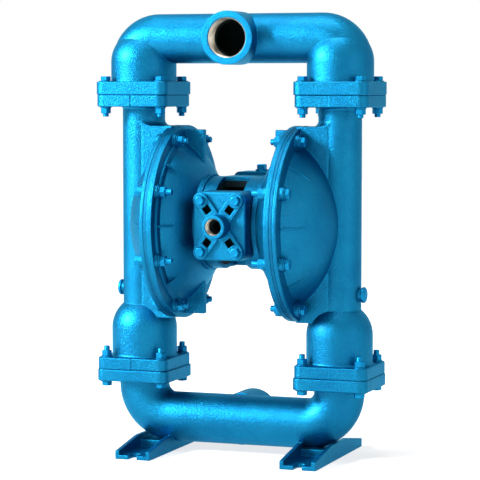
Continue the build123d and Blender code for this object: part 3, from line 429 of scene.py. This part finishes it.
# The cap's pockets and inlet, and the valve's exhaust and bore, get the same near-black painted shade.
pocket_x, pocket_z, pocket_radius = 0.0176, 0.0242, 0.0088
inlet_bar = ((0.0, -0.119, rod_height), (0.0, -0.07, rod_height), 0.0128)
pocket_bars = [((x, -0.0915, rod_height + z), (x, -0.070, rod_height + z), pocket_radius)
               for x in (-pocket_x, pocket_x) for z in (-pocket_z, pocket_z)]
finish_node("air_inlet_cap", cast_enamel("inlet_cap_enamel", inlet_bar, *pocket_bars))

exhaust_bar = ((0.0, 0.12, exhaust_height), (0.0, 0.127, exhaust_height), 0.0158)
valve_enamel = cast_enamel("air_valve_enamel", exhaust_bar, bar_along_x(0.03, 0.019, rod_height, 0.098))
for name in ("air_valve_body", "valve_end_cap_left", "valve_end_cap_right"):
    finish_node(name, valve_enamel)

# ------------------------------------------------------------------ fasteners
# Plated steel hexagon bolts, nuts and plain washers, tightened before the unit is sprayed, so they carry
# the same enamel, smoother than on the castings, and the paint fills the thread's roots.
steel_enamel = enamel("steel_enamel", enamel_bright, (0.001, 0.19, 0.45), 0.3, 0.33, 0.0003, 0.0005)
hexagon_columns, plug_columns = 48, 64
thread_pitch, thread_relief, rows_per_pitch = 0.00159, 0.0004, 5
chamfer_start, chamfer_angle = 0.955, math.pi / 6
on_axis = 1e-6


def swept_round(origins, axes, rows, columns=hexagon_columns, pitch=thread_pitch):
    """Rows of (radius, height, hexagon half width or 0, thread relief) turned round each of the axes.

    Radius at angle a is the row's radius plus relief times the triangle wave of (height / pitch - a / turn),
    and where a hexagon is given it is cut to half width / cos(a folded into 60 degrees about a flat). Each
    axis is (direction, side): the height runs along direction, and a corner points to side.
    """
    radius, height, flat, relief = np.array(rows, float).T[:, :, None]
    turn = np.linspace(0.0, 2 * np.pi, columns, endpoint=False)[None, :]
    wave = np.abs(np.mod(height / pitch - turn / (2 * np.pi), 1.0) * 2 - 1) - 0.5
    folded = np.mod(turn, np.pi / 3) - np.pi / 6
    hexagon = np.where(flat > 0, flat / np.cos(folded), np.inf)
    reach = np.minimum(radius + relief * wave, hexagon)
    parts = []
    for origin, (direction, side) in zip(origins, axes):
        direction, side = np.array(direction, float), np.array(side, float)
        third = np.cross(direction, side)
        parts.append(np.array(origin, float) + height[..., None] * direction
                     + (reach * np.cos(turn))[..., None] * side + (reach * np.sin(turn))[..., None] * third)
    return parts


def joined(parts, wrap_rows):
    """One mesh of several grids, each closed round its columns."""
    points, quads, start = [], [], 0
    for part in parts:
        rows, columns = part.shape[:2]
        points.append(part.reshape(-1, 3))
        quads.append(grid_quads(rows, columns, wrap_rows, True) + start)
        start += rows * columns
    return welded(mesh_of(np.concatenate(points), np.concatenate(quads)))


def round_rows(*places):
    """Rows of (radius, height) without a hexagon or a thread."""
    return [(radius, height, 0.0, 0.0) for radius, height in places]


def closed_ends(rows):
    """The rows with a point on the axis before the first and after the last, so that both ends are shut."""
    return round_rows((on_axis, rows[0][1])) + rows + round_rows((on_axis, rows[-1][1]))


def chamfered(half, low, high, at_low, at_high):
    """Rows of a hexagon from low to high, its corners cut by a 30 degree cone where at_low or at_high is set."""
    inner = chamfer_start * half
    cut = half / math.cos(math.pi / 6) - inner
    fall = cut * math.tan(chamfer_angle)
    rows = []
    for share in ((0.0, 0.35, 0.7, 1.0) if at_low else (1.0,)):
        rows.append((inner + cut * share, low + (fall * share if at_low else 0.0), half, 0.0))
    for share in ((1.0, 0.7, 0.35, 0.0) if at_high else (1.0,)):
        rows.append((inner + cut * share, high - (fall * share if at_high else 0.0), half, 0.0))
    return rows


def hexagon_bolt(half, head, shank, radius, threaded):
    """Rows from the thread's tip up through the shank to the head's top; the head sits on height 0.

    The tip is pointed, the thread runs out into the shank, the head stands on a washer face, and its top is
    dished inside a narrow rim.
    """
    tip, root = -shank, radius - thread_relief / 2
    start, runout, washer_face = 0.0006, 0.0012, 0.0004
    steps = max(2, int(round(threaded / thread_pitch * rows_per_pitch)))
    rows = round_rows((radius - 0.0011, tip), (radius - 0.0005, tip + 0.0004))
    rows += [(root, tip + start + threaded * k / steps, 0.0, thread_relief) for k in range(steps)]
    rows += round_rows((radius, tip + threaded + runout), (radius, 0.0), (half * 0.95, 0.0))
    rows += chamfered(half, washer_face, head, False, True)
    rows += round_rows((half * 0.90, head + 0.0001), (half * 0.62, head + 0.00012), (half * 0.58, head - 0.00012))
    return closed_ends(rows)


def hexagon_nut(half, high, bore):
    """Rows of a nut from height 0, out and up and back down its bore, for a ring closed on itself."""
    lead = 0.0006
    return round_rows((bore, 0.0)) + chamfered(half, 0.0, high, True, True) + round_rows(
        (bore + lead, high), (bore, high - lead))


def plain_washer(radius, bore, thick):
    """Rows of a flat ring with slightly rolled outer edges."""
    roll = 0.0003
    return round_rows((bore, 0.0), (radius - roll, 0.0), (radius, roll), (radius, thick - roll),
                      (radius - roll, thick), (bore, thick))


def fasteners(name, node, grids, ring):
    """One piece of like fasteners that hides a CAD node, takes its place and rides on the pump's body."""
    piece = place(name, joined(grids, ring), steel_enamel)
    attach(piece, "pump_body")
    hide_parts(node)


# Flange joints: four bolts, washers and nuts at each, heads up at the discharge and down at the suction.
bolt_radius, bolt_half, bolt_head = 0.00475, 0.00715, 0.0064
nut = hexagon_nut(bolt_half, 0.0084, bolt_radius - 0.0004)
washer = plain_washer(0.0089, 0.0052, 0.0018)
joint_x, joint_y = (-0.202, -0.113, 0.113, 0.202), (-0.0445, 0.0445)
upward, downward = ((0, 0, 1), (1, 0, 0)), ((0, 0, -1), (1, 0, 0))


def at_joints(discharge_level, suction_level):
    """The bolt places of all four flange joints, at one level for the upper pair and one for the lower."""
    return [(x, y, z) for z in (discharge_level, suction_level) for x in joint_x for y in joint_y]


joint_bolt = hexagon_bolt(bolt_half, bolt_head, 0.0547, bolt_radius, 0.0056)
under_flanges = [downward] * 8 + [upward] * 8
fasteners("joint_bolts_hex", "joint_bolts",
          swept_round(at_joints(0.5665, 0.10645), [upward] * 8 + [downward] * 8, joint_bolt), False)
fasteners("joint_nuts_hex", "joint_nuts", swept_round(at_joints(0.5252, 0.1458), under_flanges, nut), True)
fasteners("joint_washers_flat", "joint_washers",
          swept_round(at_joints(0.527, 0.144), under_flanges, washer), True)

# Rims: eight bolts, nuts and pairs of washers at each, a shorter bolt beside the lugs.
rim_turns = np.radians(22.5 + 45.0 * np.arange(8))
rim_y, rim_z = rim_bolt_circle * np.cos(rim_turns), rod_height + rim_bolt_circle * np.sin(rim_turns)
beside_lug = np.abs(rim_y) < 0.08
rim_head_x, rim_nut_x, rim_washer_x = 0.1143, 0.0807, (0.1125, 0.0807)
short_bolt = hexagon_bolt(bolt_half, bolt_head, 0.048, bolt_radius, 0.0066)
long_bolt = hexagon_bolt(bolt_half, bolt_head, 0.052, bolt_radius, 0.0106)


def on_rim(x, chosen=slice(None)):
    """The rim's bolt places that are chosen, at x."""
    return [(x, y, z) for y, z in zip(rim_y[chosen], rim_z[chosen])]


for side, way in sides:
    outward, inward = ((way, 0, 0), (0, 1, 0)), ((-way, 0, 0), (0, 1, 0))
    grids = []
    for bolt, chosen in ((short_bolt, beside_lug), (long_bolt, ~beside_lug)):
        spots = on_rim(way * rim_head_x, chosen)
        grids += swept_round(spots, [outward] * len(spots), bolt)
    fasteners("rim_bolts_hex_" + side, "rim_bolts_" + side, grids, False)
    fasteners("rim_nuts_hex_" + side, "rim_nuts_" + side,
              swept_round(on_rim(way * rim_nut_x), [inward] * 8, nut), True)
    fasteners("rim_washers_flat_" + side, "rim_washers_" + side,
              swept_round([spot for x in rim_washer_x for spot in on_rim(way * x)], [outward] * 16, washer), True)

# Air side: cap screws to the front, valve bolts to the rear and the end caps' screws to both sides.
cap_screw_places = [(x, -0.0998, rod_height + z) for x in (-0.0276, 0.0276) for z in (-0.0381, 0.0381)]
cap_screw = hexagon_bolt(0.00635, 0.0054, 0.0393, 0.004, 0.006)
fasteners("inlet_cap_screws_hex", "inlet_cap_screws",
          swept_round(cap_screw_places, [((0, -1, 0), (1, 0, 0))] * 4, cap_screw), False)

valve_bolt_places = [(x, 0.120, rod_height + z) for x in (-0.029, 0.029) for z in (-0.059, 0.059)]
valve_bolt = hexagon_bolt(bolt_half, 0.0063, 0.0595, bolt_radius, 0.006)
fasteners("air_valve_bolts_hex", "air_valve_bolts",
          swept_round(valve_bolt_places, [((0, 1, 0), (1, 0, 0))] * 4, valve_bolt), False)

end_cap_screw = hexagon_bolt(0.00555, 0.0043, 0.023, 0.0032, 0.006)
end_cap_places, end_cap_axes = [], []
for side, way in sides:
    end_cap_places += [(way * 0.047, y, rod_height + z) for y in (0.085, 0.111) for z in (-0.0195, 0.0195)]
    end_cap_axes += [((way, 0, 0), (0, 0, 1))] * 4
fasteners("valve_cap_screws_hex", "valve_cap_screws",
          swept_round(end_cap_places, end_cap_axes, end_cap_screw), False)

# A turned plug closes the tapping in each tower: a neck in the boss and a domed head with a rolled edge. The dome's
# radius is the head's times cos(a) to the 0.55, at a height that rises with sin(a).
plug_radius, plug_top, plug_edge, plug_roll = 0.012, 0.006, 0.0026, 0.0006
plug_neck_radius, plug_neck_length = 0.007, 0.009
plug_face_x, plug_height = 0.193, 0.248
plug_rows = round_rows((plug_neck_radius, -plug_neck_length), (plug_neck_radius, 0.0),
                       (plug_radius - plug_roll, 0.0), (plug_radius, plug_roll), (plug_radius, plug_edge))
plug_rows += round_rows(*((plug_radius * math.cos(a) ** 0.55, plug_edge + (plug_top - plug_edge) * math.sin(a))
                          for a in np.radians(np.linspace(0.0, 84.0, 9))[1:]))
for side, way in sides:
    plug = swept_round([(way * plug_face_x, 0.0, plug_height)], [((way, 0, 0), (0, 1, 0))],
                       closed_ends(plug_rows), plug_columns)
    fasteners("side_plug_domed_" + side, "side_plug_" + side, plug, False)
finish_node("valve_top_plug", steel_enamel)

# --------------------------------------------------------------- machined metal
# Turned, drilled and tapped faces: the pipe threads in the ports, the rod, plates, bushings, sleeves, spools
# and seats. They are left unpainted and show the tool's rings round their own axis.


def turned_marks_group():
    """Node group: fine rings round the line through Centre along Axis, as shade, roughness and height.

    Noise is read at (distance along the axis, distance from it), so that it is the same all the way round.
    """
    group, entry, leave = new_group(
        "turned_marks", (("Centre", "Vector"), ("Axis", "Vector"), ("Dullness", "Float")),
        (("Shade", "Float"), ("Roughness", "Float"), ("Height", "Float")))
    leg = vector_node(group, "SUBTRACT", object_place(group), entry.outputs["Centre"])
    across = vector_node(group, "CROSS_PRODUCT", leg, entry.outputs["Axis"])
    spot = group.nodes.new("ShaderNodeCombineXYZ")
    wire(group, vector_node(group, "DOT_PRODUCT", leg, entry.outputs["Axis"]), spot.inputs[0])
    wire(group, vector_node(group, "LENGTH", across), spot.inputs[1])
    rings = noise(group, spot.outputs[0], 1500.0, 2.0, 0.6)
    wire(group, noise(group, object_place(group), 60.0, 3.0, 0.6), leave.inputs["Shade"])
    wire(group, math_node(group, "MULTIPLY_ADD", rings, 0.18, entry.outputs["Dullness"]), leave.inputs["Roughness"])
    wire(group, rings, leave.inputs["Height"])
    return group


turned_marks = turned_marks_group()
ring_relief = 0.00004


def machined(name, dark, light, dullness, centre=(0.0, 0.0, rod_height), axis=(1.0, 0.0, 0.0)):
    """Turned metal: the turned_marks group on a Principled shader, stained from light to dark."""
    metal, tree, shader = new_material(name)
    shader.inputs["Metallic"].default_value = 1.0
    marks = group_node(tree, turned_marks, {"Centre": centre, "Axis": axis, "Dullness": dullness})
    bump_normal(tree, shader, marks.outputs["Height"], ring_relief)
    wire(tree, mix_colour(tree, ramp(tree, marks.outputs["Shade"], 0.3, 0.7), dark, light),
         shader.inputs["Base Color"])
    wire(tree, marks.outputs["Roughness"], shader.inputs["Roughness"])
    return metal


# Each pipe thread is its name, mouth, outward direction, bore, depth, pitch and tooth.
tapped_columns, rows_per_turn = 96, 6
pipe_threads = (
    ("discharge_port_thread", (0.0, -0.0615, discharge_height), (0, -1, 0), 0.0292, 0.0250, 0.00221, 0.0010),
    ("suction_port_thread", (0.0, 0.0615, suction_height), (0, 1, 0), 0.0292, 0.0250, 0.00221, 0.0010),
    ("air_inlet_thread", (0.0, -0.1200, rod_height), (0, -1, 0), 0.0123, 0.0150, 0.00181, 0.0009),
    ("exhaust_thread", (0.0, 0.1280, exhaust_height), (0, 1, 0), 0.0154, 0.0180, 0.00221, 0.0011))
lip, first_face, wall_behind = 0.0020, 0.0012, 0.0006
for name, mouth, outward, bore, depth, pitch, tooth in pipe_threads:
    behind = bore + wall_behind
    steps = int(round((depth - lip) / pitch * rows_per_turn))
    rows = round_rows((behind + 0.0002, -first_face), (bore + 0.0001, -first_face))
    rows += [(bore - tooth / 2, -lip - (depth - lip) * k / steps, 0.0, tooth) for k in range(steps)]
    rows += round_rows((bore - tooth, -depth), (behind, -depth))
    ring = swept_round([mouth], [(outward, (1, 0, 0))], rows, tapped_columns, pitch)
    tap = machined(name, (0.36, 0.33, 0.27), (0.62, 0.59, 0.51), 0.28, mouth, tuple(map(float, outward)))
    piece = place(name, joined(ring, True), tap)
    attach(piece, "pump_body")

bright_steel = machined("bright_steel", (0.42, 0.42, 0.43), (0.62, 0.62, 0.63), 0.14)
plate_steel = machined("plate_steel", (0.30, 0.30, 0.31), (0.52, 0.52, 0.53), 0.30)
bronze = machined("turned_bronze", (0.36, 0.20, 0.08), (0.58, 0.36, 0.16), 0.24)
for name in ("diaphragm_rod", "plunger_left", "plunger_right", "pilot_spool", "valve_spool"):
    finish_node(name, bright_steel)
for name in ("inner_plate_left", "inner_plate_right", "outer_plate_left", "outer_plate_right", "hub_screws"):
    finish_node(name, plate_steel)
for name in ("rod_bushing_left", "rod_bushing_right", "plunger_bushing_left", "plunger_bushing_right",
             "pilot_sleeve", "valve_sleeve"):
    finish_node(name, bronze)

seat_dark, seat_light, seat_dullness = (0.38, 0.38, 0.38), (0.58, 0.58, 0.57), 0.22
for port, seat_height in (("discharge", 0.541), ("suction", 0.122)):
    finish_node(port + "_seats", machined(port + "_seat_steel", seat_dark, seat_light, seat_dullness,
                                          (tower_x, 0.0, seat_height), (0.0, 0.0, 1.0)))

# ---------------------------------------------------------- rubber and gaskets
# Check balls, seals and bumpers are moulded rubber, dull and a little dusty. Gaskets are pressed fibre sheet,
# cut flush.
rubber_dark, rubber_light = (0.010, 0.010, 0.011), (0.030, 0.029, 0.028)


def moulded(name, dark, light, grain, dullness, relief):
    """Rubber or fibre sheet: grain of features 1 / grain metres wide in height, dust in the colour."""
    stuff, tree, shader = new_material(name)
    where = object_place(tree)
    skin = noise(tree, where, grain, 3.0, 0.6)
    dust = noise(tree, where, 45.0, 4.0, 0.6)
    bump_normal(tree, shader, skin, relief)
    blend = math_node(tree, "MULTIPLY", math_node(tree, "ADD", skin, dust), 0.5)
    wire(tree, mix_colour(tree, ramp(tree, blend, 0.35, 0.65), dark, light), shader.inputs["Base Color"])
    wire(tree, ramp(tree, dust, 0.3, 0.7, dullness, dullness + 0.15), shader.inputs["Roughness"])
    return stuff


black_rubber = moulded("black_rubber", rubber_dark, rubber_light, 900.0, 0.55, 0.00012)
fibre_sheet = moulded("fibre_sheet", (0.020, 0.028, 0.030), (0.075, 0.080, 0.070), 1400.0, 0.75, 0.00010)
bumper_rubber = moulded("bumper_rubber", (0.22, 0.09, 0.02), (0.34, 0.16, 0.05), 700.0, 0.45, 0.00008)
for name in ("discharge_ball_left", "discharge_ball_right", "suction_ball_left", "suction_ball_right", "rod_seals"):
    finish_node(name, black_rubber)
for name in ("seat_gaskets", "air_valve_gasket", "inlet_cap_gasket"):
    finish_node(name, fibre_sheet)
finish_node("plate_bumpers", bumper_rubber)

# ------------------------------------------------------------------ diaphragms
# Each is one moulded sheet with a single roll. Its rim is clamped between the chambers, with an edge that took
# the spray, and its centre between the plates; the roll gives as the rod shuttles. It is laid out as a clamped
# ring, which rides on the pump's body, and eight sectors.
sheet_start, sheet_thickness, plate_gap = 0.095, 0.0045, 0.00015
sheet_hole, plate_edge, roll_inner, roll_outer, roll_depth, roll_power = 0.0082, 0.070, 0.080, 0.116, 0.009, 1.3
ring_inner, ring_outer, painted_beyond = 0.120, 0.1465, 0.1440
bolt_hole, hole_steps = 0.00525, 128
sectors, sector_columns = 8, 13
# The edge's enamel is darker than the chambers', a painted shade for the seams between the rims; inside
# painted_beyond the sheet is its own black rubber.
shaded_diaphragm_edge = enamel("shaded_diaphragm_edge", (0.006, 0.15, 0.29), (0.001, 0.07, 0.17), 1.0, 0.36, 0.0006, 0.0010,
                        (bar_along_x(0.12, painted_beyond),), rubber_dark, rubber_light)


def sheet_faces(radius):
    """X of the air side and of the fluid side at each radius.

    The roll stands out along X by roll_depth times sin(pi * share) to the roll_power, where share goes from 0
    at roll_inner to 1 at roll_outer, and the clamped centre keeps plate_gap from both plates.
    """
    share = np.clip((radius - roll_inner) / (roll_outer - roll_inner), 0.0, 1.0)
    roll = roll_depth * np.sin(np.pi * share) ** roll_power
    gap = np.where(radius < roll_inner, plate_gap, 0.0)
    return sheet_start + roll + gap, sheet_start + sheet_thickness + roll - gap


def sector_mesh(way, middle):
    """A wedge of the sheet about the angle middle: out along the air side, back along the fluid side.

    A point at radius r and angle a lies at (way * X, r cos a, rod_height + r sin a), with X from sheet_faces.
    Both of its flat ends are closed by quads between the two sides.
    """
    radius = np.concatenate([np.linspace(sheet_hole, plate_edge, 8), np.linspace(0.073, ring_inner, 30)])
    air, fluid = sheet_faces(radius)
    across = np.concatenate([radius, radius[::-1]])[:, None]
    out = np.concatenate([air, fluid[::-1]])[:, None]
    angle = (middle + np.linspace(-1.0, 1.0, sector_columns) * np.pi / sectors)[None, :]
    points = np.stack([way * out + 0.0 * angle, across * np.cos(angle), rod_height + across * np.sin(angle)], -1)
    loop = len(across)
    a = np.arange(len(radius) - 1)
    low = np.stack([a, a + 1, loop - 2 - a, loop - 1 - a], -1) * sector_columns
    high = low[:, ::-1] + sector_columns - 1
    return welded(mesh_of(points, np.concatenate([grid_quads(loop, sector_columns, True), low, high])))


def rim_mesh(way):
    """The clamped ring, with a round hole at each bolt.

    The patch about a bolt runs in straight lines from its hole to a square of radius and angle, whose edge is
    (u, v) = (cos t, sin t) / max(|cos t|, |sin t|). The walls of the hole, of the outer edge and of the inner
    edge join the sheet's two sides. Points are complex numbers y + iz while they lie in one plane.
    """
    turn = np.arange(hole_steps) * 2 * np.pi / hole_steps
    largest = np.maximum(np.abs(np.cos(turn)), np.abs(np.sin(turn)))
    u, v = np.cos(turn) / largest, np.sin(turn) / largest
    radius = rim_bolt_circle + np.where(u > 0, u * (ring_outer - rim_bolt_circle), u * (rim_bolt_circle - ring_inner))
    a = np.arange(hole_steps)
    b = (a + 1) % hole_steps
    on_edge = np.abs(u) > 0.999999
    edge = on_edge & on_edge[b] & (u * u[b] > 0)
    points, quads = [], []
    for number in range(sectors):
        middle = (number + 0.5) * 2 * np.pi / sectors
        hole = np.exp(1j * middle) * (rim_bolt_circle + bolt_hole * np.exp(1j * turn))
        square = radius * np.exp(1j * (middle + v * np.pi / sectors))
        for level in (sheet_start, sheet_start + sheet_thickness):
            for ring in (hole, square):
                points.append(np.stack([np.full(hole_steps, way * level), ring.real, rod_height + ring.imag], -1))
        near_hole, near_square, far_hole, far_square = ((number * 4 + k) * hole_steps for k in range(4))
        for first, second, kept in ((near_hole, near_square, slice(None)), (far_hole, far_square, slice(None)),
                                    (near_hole, far_hole, slice(None)), (near_square, far_square, edge)):
            quads.append(np.stack([first + a, first + b, second + b, second + a], -1)[kept])
    return welded(mesh_of(np.concatenate(points), np.concatenate(quads)))


for side, way in sides:
    rim = place("diaphragm_rim_" + side, rim_mesh(way), shaded_diaphragm_edge)
    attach(rim, "pump_body")
    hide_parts("diaphragm_" + side)
    for number in range(sectors):
        middle = 2 * np.pi * number / sectors
        flex = place("diaphragm_flex_%s_%d" % (side, number + 1), sector_mesh(way, middle), black_rubber)
        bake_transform(flex)
        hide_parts("diaphragm_" + side)
